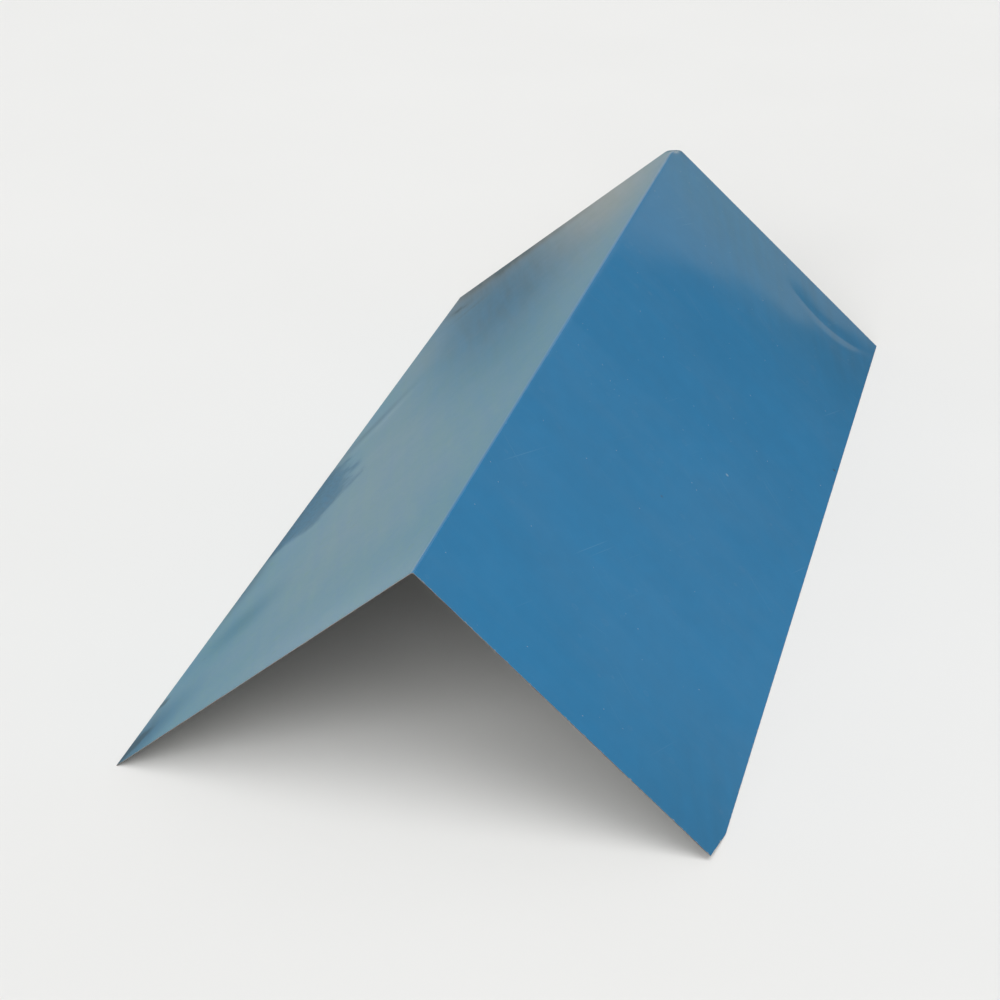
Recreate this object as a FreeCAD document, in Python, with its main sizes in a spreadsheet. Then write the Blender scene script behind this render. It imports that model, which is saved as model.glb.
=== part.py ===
import FreeCAD, Part
import Sketcher

import os
from enum import IntEnum
from math import cos, radians, sin

# A roof ridge cap: one sheet of coated steel, folded once along its middle on a press brake.
# It stands on its two foot edges as an upturned V. +Y runs along the ridge, +Z is up, and the
# origin is on the floor, midway along the cap and midway between the two foot edges.

# Driving sizes, in millimetres and degrees: name, value, what it measures.
SIZES = (
    ("flange_width", 300.0, "from the sharp corner of the fold down the outer face to the foot edge"),
    ("cap_length", 1000.0, "along the ridge, from the near end to the far end"),
    ("opening_angle", 98.0, "inside angle between the two flanges"),
    ("sheet_thickness", 0.5, "the sheet with its zinc and its paint"),
    ("inner_bend_radius", 2.0, "inside of the fold, left by the nose of the brake's punch"),
    ("snip_rise", 6.5, "clipped corner: its leg up the near end"),
    ("snip_run", 37.0, "clipped corner: its leg along the foot edge"),
)
SIZE = {name: value for name, value, meaning in SIZES}

# How far the metal clipped off may differ from its own triangle, as a share of it.
SNIP_TOLERANCE = 0.01


class Spot(IntEnum):
    """The numbers by which a sketch knows the places on one of its lines or arcs."""

    START = 1
    END = 2
    CENTRE = 3


class Axis(IntEnum):
    """The numbers by which a sketch knows its own two axes."""

    LEVEL = -1
    UPRIGHT = -2


def make_sheet(document):
    """Write the driving sizes into a spreadsheet, one row and one alias for each."""
    sheet = document.addObject("Spreadsheet::Sheet", "Sizes")
    for row, (name, value, meaning) in enumerate(SIZES, start=1):
        sheet.set(f"A{row}", name)
        sheet.set(f"B{row}", str(value))
        sheet.set(f"C{row}", meaning)
        sheet.setAlias(f"B{row}", name)
    document.recompute()


def origin_plane(body, role):
    """Return the body's own origin plane of that role, such as XZ_Plane."""
    for feature in body.Origin.OriginFeatures:
        if feature.Role == role:
            return feature
    raise ValueError(f"{body.Label} has no {role}")


def new_sketch(body, name, role):
    """Add a sketch that lies flat on one of the body's origin planes."""
    sketch = body.newObject("Sketcher::SketchObject", name)
    sketch.AttachmentSupport = [(origin_plane(body, role), "")]
    sketch.MapMode = "FlatFace"
    return sketch


def add_line(sketch, start, end):
    """Draw a line between two (across, up) points and return its number."""
    segment = Part.LineSegment(FreeCAD.Vector(*start, 0), FreeCAD.Vector(*end, 0))
    return sketch.addGeometry(segment, False)


def add_constraint(sketch, kind, *values):
    """Add a constraint of that kind between the elements and points given."""
    return sketch.addConstraint(Sketcher.Constraint(kind, *values))


def add_size(sketch, name, expression, kind, *values):
    """Add a constraint with a value, name it and drive it from the spreadsheet."""
    index = add_constraint(sketch, kind, *values)
    sketch.renameConstraint(index, name)
    sketch.setExpression(f"Constraints.{name}", expression)


def draw_section(sketch):
    """Draw the bent sheet's section: two straight flanges that meet in two concentric arcs.

    The outer faces would meet in a sharp corner above the fold. The flange width runs from that
    corner to the foot, as a bender measures it, and the inner foot corners stand on the floor.
    """
    half = radians(SIZE["opening_angle"] / 2)
    thickness = SIZE["sheet_thickness"]
    inner_radius = SIZE["inner_bend_radius"]
    outer_radius = inner_radius + thickness
    corner_height = SIZE["flange_width"] * cos(half) + thickness * sin(half)
    centre_height = corner_height - outer_radius / sin(half)
    foot_reach = SIZE["flange_width"] * sin(half)
    foot_height = thickness * sin(half)
    inner_reach = foot_reach - thickness * cos(half)

    def on_bend(radius, side):
        return (side * radius * cos(half), centre_height + radius * sin(half))

    centre = FreeCAD.Vector(0, centre_height, 0)
    upright = FreeCAD.Vector(0, 0, 1)

    def add_bend(radius):
        circle = Part.Circle(centre, upright, radius)
        return sketch.addGeometry(Part.ArcOfCircle(circle, half, radians(180) - half), False)

    outer_bend = add_bend(outer_radius)
    inner_bend = add_bend(inner_radius)
    outer_lines = []
    feet = []
    for side, bend_end in ((1, Spot.START), (-1, Spot.END)):
        outer = add_line(sketch, on_bend(outer_radius, side), (side * foot_reach, foot_height))
        inner = add_line(sketch, on_bend(inner_radius, side), (side * inner_reach, 0))
        foot = add_line(sketch, (side * foot_reach, foot_height), (side * inner_reach, 0))
        add_constraint(sketch, "Tangent", outer, Spot.START, outer_bend, bend_end)
        add_constraint(sketch, "Tangent", inner, Spot.START, inner_bend, bend_end)
        add_constraint(sketch, "Coincident", outer, Spot.END, foot, Spot.START)
        add_constraint(sketch, "Coincident", inner, Spot.END, foot, Spot.END)
        add_constraint(sketch, "Perpendicular", outer, foot)
        add_constraint(sketch, "Parallel", outer, inner)
        outer_lines.append(outer)
        feet.append(foot)

    right_outer, left_outer = outer_lines
    right_foot = feet[0]
    add_constraint(sketch, "Coincident", outer_bend, Spot.CENTRE, inner_bend, Spot.CENTRE)
    add_constraint(sketch, "PointOnObject", outer_bend, Spot.CENTRE, Axis.UPRIGHT)
    add_constraint(sketch, "Symmetric", right_outer, Spot.END, left_outer, Spot.END, Axis.UPRIGHT)
    add_constraint(sketch, "PointOnObject", right_foot, Spot.END, Axis.LEVEL)

    sharp_corner = sketch.addGeometry(Part.Point(FreeCAD.Vector(0, corner_height, 0)), True)
    add_constraint(sketch, "PointOnObject", sharp_corner, Spot.START, right_outer)
    add_constraint(sketch, "PointOnObject", sharp_corner, Spot.START, left_outer)

    add_size(sketch, "thickness", "Sizes.sheet_thickness", "Distance", right_foot, thickness)
    add_size(sketch, "bend_radius", "Sizes.inner_bend_radius", "Radius", inner_bend, inner_radius)
    add_size(sketch, "opening", "Sizes.opening_angle", "Angle",
             left_outer, Spot.START, right_outer, Spot.START, 2 * half)
    add_size(sketch, "flange", "Sizes.flange_width", "Distance",
             sharp_corner, Spot.START, right_outer, Spot.END, SIZE["flange_width"])


def draw_snip(sketch):
    """Draw the triangle that is clipped off the right flange where its foot meets the near end.

    The sketch lies on the right flange's outer face. Its across axis is the foot edge, which
    runs along the cap, and its up axis climbs the slope.
    """
    near_end = -SIZE["cap_length"] / 2
    corner = (near_end, 0)
    up_the_end = (near_end, SIZE["snip_rise"])
    along_the_foot = (near_end + SIZE["snip_run"], 0)

    rise = add_line(sketch, corner, up_the_end)
    cut = add_line(sketch, up_the_end, along_the_foot)
    run = add_line(sketch, along_the_foot, corner)
    add_constraint(sketch, "Coincident", rise, Spot.END, cut, Spot.START)
    add_constraint(sketch, "Coincident", cut, Spot.END, run, Spot.START)
    add_constraint(sketch, "Coincident", run, Spot.END, rise, Spot.START)
    add_constraint(sketch, "PointOnObject", rise, Spot.START, Axis.LEVEL)
    add_constraint(sketch, "Vertical", rise)
    add_constraint(sketch, "Horizontal", run)
    add_size(sketch, "near_end", "-Sizes.cap_length / 2", "DistanceX",
             rise, Spot.START, near_end)
    add_size(sketch, "rise", "Sizes.snip_rise", "DistanceY",
             rise, Spot.START, rise, Spot.END, SIZE["snip_rise"])
    add_size(sketch, "run", "Sizes.snip_run", "DistanceX",
             run, Spot.END, run, Spot.START, SIZE["snip_run"])


def lay_on_right_flange(sketch):
    """Tilt a sketch from the upright YZ plane onto the right flange's outer face.

    Half the opening angle is the flange's lean from upright. The sketch's origin goes to the
    outer foot corner, midway along the cap.
    """
    half = SIZE["opening_angle"] / 2
    lean = FreeCAD.Rotation(FreeCAD.Vector(-1, 0, 0), half)
    sketch.AttachmentOffset = FreeCAD.Placement(FreeCAD.Vector(0, 0, 0), lean)
    sketch.setExpression("AttachmentOffset.Rotation.Angle", "Sizes.opening_angle / 2")
    sketch.setExpression("AttachmentOffset.Base.y",
                         "Sizes.sheet_thickness * sin(Sizes.opening_angle / 2 * 1 deg)")
    sketch.setExpression("AttachmentOffset.Base.z",
                         "Sizes.flange_width * sin(Sizes.opening_angle / 2 * 1 deg)")


def make_ridge_cap(document):
    """Make the cap: its section carried along the ridge, then one foot corner clipped."""
    body = document.addObject("PartDesign::Body", "RidgeCap")
    body.Label = "ridge_cap"

    section = new_sketch(body, "BentSection", "XZ_Plane")
    draw_section(section)
    length = body.newObject("PartDesign::Pad", "SheetAlongRidge")
    length.Profile = section
    length.SideType = "Symmetric"
    length.setExpression("Length", "Sizes.cap_length")
    document.recompute()

    snip = new_sketch(body, "ClippedCorner", "YZ_Plane")
    lay_on_right_flange(snip)
    draw_snip(snip)
    clip = body.newObject("PartDesign::Pocket", "ClippedFootCorner")
    clip.Profile = snip
    clip.Type = "ThroughAll"
    document.recompute()

    for sketch in (section, snip):
        if not sketch.FullyConstrained:
            raise ValueError(f"{sketch.Label} has sizes that nothing holds")
    removed = length.Shape.Volume - clip.Shape.Volume
    triangle = SIZE["snip_rise"] * SIZE["snip_run"] / 2 * SIZE["sheet_thickness"]
    if abs(removed - triangle) > SNIP_TOLERANCE * triangle:
        raise ValueError(f"the clipped corner took {removed:.3f} mm3 in place of {triangle:.3f}")
    return body


def check_document(document, bodies):
    """Stop if any object of the document failed, or if a sub-part has no sound solid."""
    for item in document.Objects:
        if "Invalid" in item.State or "Error" in item.State:
            raise RuntimeError(f"{item.Label} failed: {item.State}")
    for body in bodies:
        if body.Shape.isNull() or not body.Shape.isValid() or len(body.Shape.Solids) != 1:
            raise RuntimeError(f"{body.Label} is not one sound solid")


def main():
    """Build the document, check it and write each sub-part to its own file."""
    document = FreeCAD.newDocument("RoofRidgeCap")
    make_sheet(document)
    bodies = [make_ridge_cap(document)]
    document.recompute()
    check_document(document, bodies)

    os.makedirs("parts", exist_ok=True)
    for body in bodies:
        body.Shape.exportStep(os.path.join("parts", f"{body.Label}.step"))
        box = body.Shape.BoundBox
        print(f"{body.Label}: {box.XLength:.3f} x {box.YLength:.3f} x {box.ZLength:.3f} mm, "
              f"{body.Shape.Volume:.1f} mm3, pitch {90 - SIZE['opening_angle'] / 2:.1f} degrees")


main()
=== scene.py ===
"""Looks of a roof ridge cap: one sheet of blue coated steel, folded once along its middle.

The cap stands on its two foot edges as an upturned V. +Y runs along the ridge, away from the
camera, +Z is up and the floor is at z = 0. Every size is in metres unless it says otherwise.
A place on the sheet is given by two numbers: how far down a flange it lies from the sharp corner
of the fold, and how far along the ridge from the cap's middle (the near end is negative).
"""

import logging
from dataclasses import dataclass
from enum import IntEnum
from math import cos, pi, radians, sin, tan
from typing import ClassVar

import bpy
import numpy as np
from mathutils import Matrix


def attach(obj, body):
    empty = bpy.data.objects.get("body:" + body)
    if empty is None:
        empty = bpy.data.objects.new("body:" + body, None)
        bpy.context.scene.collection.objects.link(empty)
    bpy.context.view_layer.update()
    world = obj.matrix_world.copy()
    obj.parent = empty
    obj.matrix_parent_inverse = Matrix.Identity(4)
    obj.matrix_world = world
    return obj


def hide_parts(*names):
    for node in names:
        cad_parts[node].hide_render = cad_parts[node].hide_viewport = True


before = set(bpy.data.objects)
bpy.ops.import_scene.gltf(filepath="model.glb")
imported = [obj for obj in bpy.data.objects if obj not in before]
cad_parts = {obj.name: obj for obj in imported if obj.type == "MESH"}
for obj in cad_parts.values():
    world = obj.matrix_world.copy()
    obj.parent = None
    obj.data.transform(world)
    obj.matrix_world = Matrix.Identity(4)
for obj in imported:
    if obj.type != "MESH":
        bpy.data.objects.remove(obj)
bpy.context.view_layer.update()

NODE = "ridge_cap"
UNFOLDED = "unfolded_sheet"
NOISE_MIDDLE = 0.5
MIX_SHARE, MIX_FIRST, MIX_SECOND, MIX_RESULT = 0, 6, 7, 2

log = logging.getLogger(NODE)

Array = np.ndarray
Span = tuple[float, float]
Triple = tuple[float, float, float]
Colour = Triple
Socket = bpy.types.NodeSocket


class Side(IntEnum):
    """The two flanges, by the sign of x on which each lies."""

    LEFT = -1
    RIGHT = 1


class Face(IntEnum):
    """The three finishes of the sheet, by the number of their material slot."""

    TOP_COAT = 0
    BACK_COAT = 1
    CUT_EDGE = 2


def smooth_step(low: float, high: float, value: Array) -> Array:
    """Rise from 0 at low to 1 at high with level ends, by 3t^2 - 2t^3; fall if high is under low."""
    t = np.clip((value - low) / (high - low), 0.0, 1.0)
    return t * t * (3.0 - 2.0 * t)


def bell(offset: Array) -> Array:
    """A bell of height 1 and standard width 1: e to the power of minus half the square."""
    return np.exp(-0.5 * offset * offset)


def placed(axes: Array, place: Triple = (0.0, 0.0, 0.0)) -> Matrix:
    """Join three axes, as the columns of a turn, and a place in one matrix."""
    rows = [[*row, offset] for row, offset in zip(axes, place)]
    return Matrix(rows + [[0.0, 0.0, 0.0, 1.0]])


def put_up(name: str, data: bpy.types.ID) -> bpy.types.Object:
    """Put a new object in the scene.

    Args:
        name: its name.
        data: its mesh, lamp or camera data.

    Returns:
        The object.
    """
    thing = bpy.data.objects.new(name, data)
    bpy.context.scene.collection.objects.link(thing)
    return thing


@dataclass(frozen=True)
class FoldedSection:
    """The bent sheet seen from its end, with the same sizes as the CAD source."""

    flange_width: float = 0.300
    half_opening: float = radians(49.0)
    thickness: float = 0.0005
    inner_radius: float = 0.002

    @property
    def outer_radius(self) -> float:
        """Radius of the fold's outer face."""
        return self.inner_radius + self.thickness

    @property
    def bend_turn(self) -> float:
        """Angle that half the fold turns through, from the crown to where a flange starts."""
        return pi / 2 - self.half_opening

    @property
    def setback(self) -> float:
        """Length of a flange's outer face that the fold's rounding takes, up to the sharp corner."""
        return self.outer_radius * tan(self.bend_turn)

    @property
    def bend_length(self) -> float:
        """Length of half the fold's outer arc."""
        return self.outer_radius * self.bend_turn

    @property
    def bend_height(self) -> float:
        """Height of the fold's centre, with the inner foot corners on the floor."""
        corner = self.flange_width * cos(self.half_opening) + self.thickness * sin(self.half_opening)
        return corner - self.outer_radius / sin(self.half_opening)

    @property
    def crown_height(self) -> float:
        """Height of the fold's top."""
        return self.bend_height + self.outer_radius

    def place(self, across: Array) -> tuple[Array, Array, Array, Array]:
        """Find the outer face from the distance across the unfolded sheet, crown at 0.

        Within the bend length the face is an arc: the turn from upright is the distance over the
        radius. Past it the face runs straight on along the arc's last tangent.

        Args:
            across: distances from the crown, negative on the left flange.

        Returns:
            x, z and the outward normal's x and z.
        """
        turn = np.clip(across / self.outer_radius, -self.bend_turn, self.bend_turn)
        straight = across - turn * self.outer_radius
        normal_x, normal_z = np.sin(turn), np.cos(turn)
        x = self.outer_radius * normal_x + straight * normal_z
        z = self.bend_height + self.outer_radius * normal_z - straight * normal_x
        return x, z, normal_x, normal_z

    def down(self, across: Array) -> Array:
        """Distance down a flange from its sharp corner, from the distance across the sheet."""
        return np.maximum(np.abs(across) - self.bend_length + self.setback, 0.0)


@dataclass(frozen=True)
class Snip:
    """The corner clipped off the right flange at the near end: its leg up the end and along the foot."""

    rise: float = 0.0065
    run: float = 0.037

    def taken(self, along: Array, near_end: float) -> Array:
        """How much of the flange's width is clipped off, falling evenly to none along the run."""
        return self.rise * np.clip(1.0 - (along - near_end) / self.run, 0.0, 1.0)


@dataclass(frozen=True)
class Spot:
    """A soft-edged spot on one flange: where its middle is, how far it reaches, how it is turned."""

    side: Side
    down: float
    along: float
    reach_down: float
    reach_along: float
    turn: float = 0.0

    def share(self, down: Array, along: Array) -> Array:
        """A bell over an ellipse that is turned on the flange, 1 in its middle.

        Args:
            down: distances down the flange.
            along: distances along the ridge.

        Returns:
            The spot's share of each place.
        """
        p, q = down - self.down, along - self.along
        c, s = cos(self.turn), sin(self.turn)
        return bell((c * p + s * q) / self.reach_down) * bell((c * q - s * p) / self.reach_along)


@dataclass(frozen=True)
class Swell(Spot):
    """A soft hollow or bulge, as thin sheet gets where it is handled."""

    height: float = 0.0

    def relief(self, down: Array, along: Array) -> Array:
        """How far the face stands out from flat: the height times the spot's share."""
        return self.height * self.share(down, along)


@dataclass(frozen=True)
class Mark(Spot):
    """A spot where the coat is dulled, browned, given painted reflection, or darkened by soil, stains and
    painted shade, by strength.
    """

    dull: float = 0.0
    painted_reflection: float = 0.0
    soil_and_shade: float = 0.0
    tan: float = 0.0
    stain_and_shade: float = 0.0
    rubbed_and_shade: float = 0.0


@dataclass(frozen=True)
class CornerCrease:
    """The shallow crease that runs to the far right corner: steep on its near side, long past it."""

    side: Side = Side.RIGHT
    lowest_down: float = 0.225
    lowest_along: float = 0.4360
    curl: float = 7.0
    depth: float = 0.00028
    near_width: float = 0.0056
    far_length: float = 0.0052
    spread: float = 0.03
    start: float = 0.178
    full: float = 0.228
    fading: float = 0.247
    left_at_foot: float = 0.05
    foot: float = 0.289

    def relief(self, down: Array, along: Array) -> Array:
        """A valley whose line is a parabola: a half bell before it, an exponential rise past it.

        The line's place along the ridge is its lowest place plus curl times the square of the
        distance from it. Past the line the face comes back by e to the power of minus the
        offset over a length that grows towards the foot.

        Args:
            down: distances down the flange.
            along: distances along the ridge.

        Returns:
            How far the face stands out from flat.
        """
        past = down - self.lowest_down
        line = self.lowest_along + self.curl * past * past
        slope = 2.0 * self.curl * past
        offset = (along - line) / np.sqrt(1.0 + slope * slope)
        length = self.far_length + self.spread * np.clip(past, 0.0, None)
        before = bell(np.minimum(offset, 0.0) / self.near_width)
        after = np.exp(-np.maximum(offset, 0.0) / length)
        depth = self.depth * smooth_step(self.start, self.full, down)
        depth *= 1.0 - (1.0 - self.left_at_foot) * smooth_step(self.fading, self.foot, down)
        return -depth * before * after


@dataclass(frozen=True)
class KnockedCrown:
    """The far end of the fold, knocked down to a level that leans to the left."""

    depth: float = 0.0051
    lean: float = 0.13
    reach: float = 0.010
    softness: float = 0.0009

    def drop(self, x: Array, under_crown: Array, from_end: Array) -> Array:
        """How far the knock takes each place straight down.

        At the very end, all that stands above the level comes down to it, with a soft corner:
        softness times ln(1 + e^(rise above the level / softness)). Along the ridge this fades
        by half a bell.

        Args:
            x: how far right of the fold each place is.
            under_crown: how far it lies under the fold's top.
            from_end: how far it is from the far end.

        Returns:
            The drop at each place.
        """
        rise = self.depth - under_crown - self.lean * x
        return self.softness * np.logaddexp(0.0, rise / self.softness) * bell(from_end / self.reach)


@dataclass
class RidgeCap:
    """The cap's sheet: a closed shell carried along the ridge, with its three finishes."""

    section: FoldedSection = FoldedSection()
    snip: Snip = Snip()
    knock: KnockedCrown = KnockedCrown()
    length: float = 1.000
    bend_columns: int = 9
    flange_columns: int = 64
    near_rows: int = 15
    middle_rows: int = 200
    far_rows: int = 80
    far_zone: float = 0.16
    edge_margin: float = 0.05
    sharp_angle: float = radians(30.0)
    crowding: float = 0.30
    left_border: float = 0.004
    left_dull: float = 0.56
    # painted reflection: a pale greenish grey laid over the whole left flange, for its glossy coat's
    # reflection of the pale surroundings
    left_painted_reflection: float = 0.36
    fold_dull: float = 0.34
    fold_reach: float = 0.0020
    # place down and along, reach down and along, turn
    features: tuple[CornerCrease | Swell, ...] = (
        CornerCrease(),
        Swell(Side.RIGHT, 0.15, -0.15, 0.09, 0.22, height=0.0003),
        Swell(Side.RIGHT, 0.19, 0.16, 0.07, 0.12, 0.4, height=-0.0002),
        Swell(Side.RIGHT, 0.192, 0.430, 0.019, 0.027, height=-0.00018),
        Swell(Side.LEFT, 0.16, 0.25, 0.08, 0.15, -0.34, height=-0.0008),
        Swell(Side.LEFT, 0.15, -0.10, 0.08, 0.18, height=0.0008),
        Swell(Side.LEFT, 0.19, -0.36, 0.06, 0.10, height=-0.0004),
        Swell(Side.LEFT, 0.262, -0.075, 0.013, 0.040, 0.25, height=-0.0007),
        Swell(Side.LEFT, 0.268, 0.125, 0.008, 0.035, -0.2, height=-0.0004),
    )
    # most marks paint light: their darkening is painted shade, the glossy coat's reflection of the cap's
    # shadow on the floor, with some soil and stains, and their lightening is painted reflection
    marks: tuple[Mark, ...] = (
        # painted shade: a long dark swath across the left flange, for the reflection of the cap's own
        # shadow
        Mark(Side.LEFT, 0.188, 0.335, 0.066, 0.150, -0.36, dull=0.25, painted_reflection=-0.20, soil_and_shade=0.46),
        Mark(Side.LEFT, 0.266, 0.500, 0.052, 0.064, -0.30, painted_reflection=-0.12, soil_and_shade=0.38, tan=0.20),
        Mark(Side.LEFT, 0.112, 0.080, 0.052, 0.130, -0.36, dull=0.08, painted_reflection=-0.05, soil_and_shade=0.11),
        Mark(Side.LEFT, 0.045, 0.260, 0.035, 0.110, -0.25, tan=0.08),
        Mark(Side.LEFT, 0.085, 0.470, 0.058, 0.110, -0.20, dull=-0.12, tan=0.37, soil_and_shade=0.17),
        Mark(Side.LEFT, 0.150, -0.250, 0.075, 0.160, -0.20, dull=-0.04, tan=0.10),
        Mark(Side.LEFT, 0.225, 0.020, 0.040, 0.110, -0.30, tan=0.08),
        Mark(Side.LEFT, 0.275, 0.280, 0.022, 0.080, -0.20, dull=-0.06, tan=0.10),
        # painted shade: a dark, duller patch along the left foot, for the reflection of the shadow by the
        # foot, over the dents of the relief
        Mark(Side.LEFT, 0.300, -0.084, 0.050, 0.056, 0.16, rubbed_and_shade=1.00),
        Mark(Side.LEFT, 0.302, -0.005, 0.030, 0.052, 0.10, rubbed_and_shade=0.55),
        Mark(Side.LEFT, 0.303, -0.075, 0.012, 0.070, 0.05, dull=0.05, soil_and_shade=0.18),
        Mark(Side.LEFT, 0.301, -0.180, 0.007, 0.060, dull=0.10, soil_and_shade=0.22, stain_and_shade=0.30),
        # painted shade in a small crease by the left foot, beside a glossier line
        Mark(Side.LEFT, 0.275, 0.122, 0.0054, 0.036, 0.35, dull=0.10, soil_and_shade=0.32, stain_and_shade=0.17),
        Mark(Side.LEFT, 0.260, 0.112, 0.0060, 0.030, 0.30, dull=-0.07),
        # painted shade along the left foot and at its near corner
        Mark(Side.LEFT, 0.254, -0.318, 0.019, 0.028, 0.45, dull=0.20, soil_and_shade=0.13),
        Mark(Side.LEFT, 0.299, -0.215, 0.010, 0.030, dull=0.05, soil_and_shade=0.32),
        Mark(Side.LEFT, 0.300, -0.440, 0.011, 0.022, soil_and_shade=0.24),
        Mark(Side.LEFT, 0.301, 0.060, 0.010, 0.036, soil_and_shade=0.26),
        Mark(Side.LEFT, 0.290, -0.478, 0.020, 0.036, 0.35, dull=0.25, painted_reflection=-0.20, soil_and_shade=0.35),
        Mark(Side.LEFT, 0.297, -0.480, 0.011, 0.028, 0.35, soil_and_shade=0.15, stain_and_shade=0.60),
        Mark(Side.LEFT, 0.296, -0.408, 0.006, 0.009, stain_and_shade=0.60),
        Mark(Side.LEFT, 0.283, -0.353, 0.013, 0.004, stain_and_shade=0.34),
        # a brown tint and painted shade along the far edge of the left flange
        Mark(Side.LEFT, 0.225, 0.496, 0.070, 0.018, dull=0.10, tan=0.45, soil_and_shade=0.45, stain_and_shade=0.30),
        Mark(Side.LEFT, 0.276, 0.425, 0.016, 0.010, 0.55, soil_and_shade=0.28, stain_and_shade=0.38),
        Mark(Side.LEFT, 0.248, 0.385, 0.018, 0.005, -0.60, soil_and_shade=0.20, stain_and_shade=0.32),
        Mark(Side.LEFT, 0.060, -0.500, 0.090, 0.040, dull=-0.13),
        # painted reflection: a paler band at the far end of the right flange
        Mark(Side.RIGHT, 0.080, 0.500, 0.110, 0.090, -0.50, painted_reflection=0.12),
        # darker towards the far end of the right flange
        Mark(Side.RIGHT, 0.260, 0.500, 0.200, 0.140, soil_and_shade=0.27),
        Mark(Side.RIGHT, 0.292, -0.470, 0.050, 0.070, soil_and_shade=0.20),
        # painted shade on the knocked far end of the crown, which takes away its highlight
        Mark(Side.LEFT, 0.000, 0.502, 0.008, 0.007, dull=0.30, soil_and_shade=0.40),
        Mark(Side.RIGHT, 0.000, 0.502, 0.009, 0.007, dull=0.50, soil_and_shade=0.55),
    )

    @property
    def near_end(self) -> float:
        """The near end's place along the ridge."""
        return -self.length / 2

    def rows(self) -> Array:
        """Share out the length into sections, closer together at both ends.

        Returns:
            The sections' places along the ridge, near end first.
        """
        snip_end = self.near_end + self.snip.run
        far_start = self.length / 2 - self.far_zone
        near = np.linspace(self.near_end, snip_end, self.near_rows, endpoint=False)
        middle = np.linspace(snip_end, far_start, self.middle_rows, endpoint=False)
        far = np.linspace(far_start, self.length / 2, self.far_rows)
        return np.concatenate((near, middle, far))

    def grid(self) -> tuple[Array, Array]:
        """Lay the grid on the unfolded sheet.

        A flange's columns share out what the fold leaves of its width, so the outermost follows
        the clipped corner. They stand closer together towards the foot and the fold.

        Returns:
            Distance across the sheet and distance along it, each by row and column.
        """
        section = self.section
        along = self.rows()[:, None]
        flat = section.flange_width - section.setback
        right_flat = flat - self.snip.taken(along, self.near_end)
        share = np.linspace(0.0, 1.0, self.flange_columns + 1)[1:]
        share = share - self.crowding * np.sin(2.0 * pi * share) / pi
        bend = np.linspace(-section.bend_length, section.bend_length, self.bend_columns)
        left = -section.bend_length - flat * share[::-1]
        rows = along.shape[0]
        across = np.hstack((
            np.broadcast_to(left, (rows, left.size)),
            np.broadcast_to(bend, (rows, bend.size)),
            section.bend_length + right_flat * share,
        ))
        return across, np.broadcast_to(along, across.shape)

    def edge_distance(self, across: Array, along: Array) -> Array:
        """Distance on the sheet to its nearest cut edge, the clip taken straight down the flange.

        Args:
            across: distances across the unfolded sheet.
            along: distances along it.

        Returns:
            The distance from each place.
        """
        section = self.section
        width = section.flange_width - np.where(across > 0, self.snip.taken(along, self.near_end), 0.0)
        to_foot = np.maximum(width - section.down(across), 0.0)
        to_end = self.length / 2 - np.abs(along)
        return np.minimum(to_foot, to_end)

    def relief(self, across: Array, along: Array) -> Array:
        """Add up the features of each flange, which fade out towards the fold.

        Swells fade out towards the foot and the ends as well, the crease runs out at the foot.

        Args:
            across: distances across the unfolded sheet.
            along: distances along it.

        Returns:
            How far each place stands out from flat.
        """
        down = self.section.down(across)
        total = np.zeros_like(down)
        held = smooth_step(self.section.setback, self.section.setback + self.edge_margin, down)
        free = smooth_step(0.0, self.edge_margin, self.section.flange_width - down)
        to_end = smooth_step(0.0, self.edge_margin, self.length / 2 - np.abs(along))
        for feature in self.features:
            own = np.sign(across) == feature.side
            fade = held * free * to_end if isinstance(feature, Swell) else held
            total += np.where(own, feature.relief(down, along) * fade, 0.0)
        return total

    def strengths(self, across: Array, along: Array) -> dict[str, Array]:
        """Add up the marks of each flange on top of the left flange's dullness and painted reflection.

        The coat is stretched over the fold, which takes some of its gloss.

        Args:
            across: distances across the unfolded sheet.
            along: distances along it.

        Returns:
            Each of a mark's six strengths, from 0 to 1 at every place.
        """
        down = self.section.down(across)
        left = smooth_step(0.0, self.left_border, -across)
        fold = bell(across / self.fold_reach)
        # the left flange starts with its painted reflection
        totals = {"dull": self.left_dull * left + self.fold_dull * fold, "painted_reflection": self.left_painted_reflection * left}
        totals.update({name: np.zeros_like(left) for name in ("soil_and_shade", "tan", "stain_and_shade", "rubbed_and_shade")})
        for mark in self.marks:
            share = np.where(across * mark.side >= 0, mark.share(down, along), 0.0)
            for name in totals:
                totals[name] = totals[name] + getattr(mark, name) * share
        return {name: np.clip(total, 0.0, 1.0) for name, total in totals.items()}

    def build(self) -> bpy.types.Object:
        """Make the shell's mesh.

        The outer face is the section's outer line moved out by the relief, and down by the knock.
        The inner face lies one thickness under it along the same normals. Both grids joined foot
        to foot form a closed ring in every row, and the two ends are strips between the faces.

        Returns:
            The piece, at the origin, with its attributes and no finish yet.
        """
        across, along = self.grid()
        x, z, normal_x, normal_z = self.section.place(across)
        relief = self.relief(across, along)
        drop = self.knock.drop(x, self.section.crown_height - z, self.length / 2 - along)
        outer = np.stack((x + normal_x * relief, along, z + normal_z * relief - drop), axis=-1)
        under = np.stack((normal_x, np.zeros_like(x), normal_z), axis=-1) * self.section.thickness
        ring = np.concatenate((outer, (outer - under)[:, ::-1]), axis=1)
        rows, columns = across.shape
        around = 2 * columns

        first = np.arange(rows - 1)[:, None] * around + np.arange(around)[None, :]
        right = np.arange(rows - 1)[:, None] * around + (np.arange(around) + 1)[None, :] % around
        tube = np.stack((first, right, right + around, first + around), axis=-1).reshape(-1, 4)
        lower = np.arange(columns - 1)
        upper = around - 1 - lower
        near = np.stack((lower, upper, upper - 1, lower + 1), axis=-1)
        far = near[:, ::-1] + (rows - 1) * around
        faces = np.concatenate((tube, near, far))

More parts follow.
